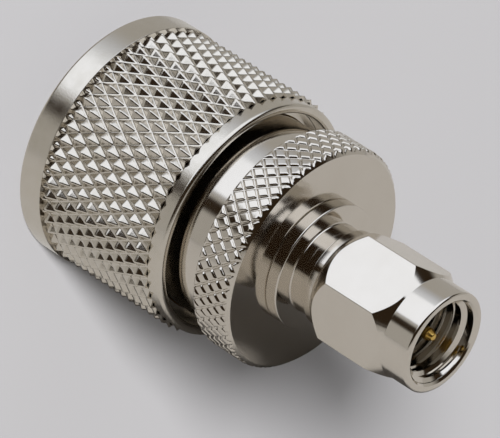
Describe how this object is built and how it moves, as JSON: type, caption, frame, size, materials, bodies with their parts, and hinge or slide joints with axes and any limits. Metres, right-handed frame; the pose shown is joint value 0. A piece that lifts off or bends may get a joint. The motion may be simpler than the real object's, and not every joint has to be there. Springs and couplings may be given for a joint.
{
  "type": "coaxial adapter",
  "caption": "Coaxial adapter, type N plug with a diamond-knurled coupling nut to SMA plug with a hexagonal coupling nut, in bright nickel with a gold pin",
  "frame": {"origin": "centre of the mouth of the large coupling nut, on the plane that the adapter stands on", "axes": "+Z along the common axis, from the large nut's mouth to the small nut's mouth; +X through a corner of the hexagonal nut"},
  "size_m": [0.019, 0.019, 0.0322],
  "materials": {
    "nickel": "bright nickel plate on turned brass",
    "gold": "gold plate on a turned contact",
    "spring_bronze": "plain spring bronze",
    "ptfe": "white turned PTFE",
    "silicone": "moulded silicone rubber"
  },
  "bodies": {
    "adapter": {"main_body": "nickel", "n_outer_contact": "nickel", "n_gasket": "silicone", "n_insulator": "ptfe", "centre_contact": "gold", "sma_insulator": "ptfe", "sma_body": "nickel", "sma_gasket": "silicone"},
    "n_nut": {"n_coupling_nut": "nickel", "n_retaining_ring": "spring_bronze"},
    "sma_nut": {"sma_coupling_nut": "nickel", "sma_retaining_ring": "spring_bronze"}
  },
  "joints": [
    {"name": "n_nut_spin", "type": "hinge", "parent": "adapter", "child": "n_nut", "pos_m": [0, 0, 0.0115], "axis": [0, 0, 1], "continuous": true},
    {"name": "sma_nut_spin", "type": "hinge", "parent": "adapter", "child": "sma_nut", "pos_m": [0, 0, 0.024], "axis": [0, 0, 1], "continuous": true}
  ]
}
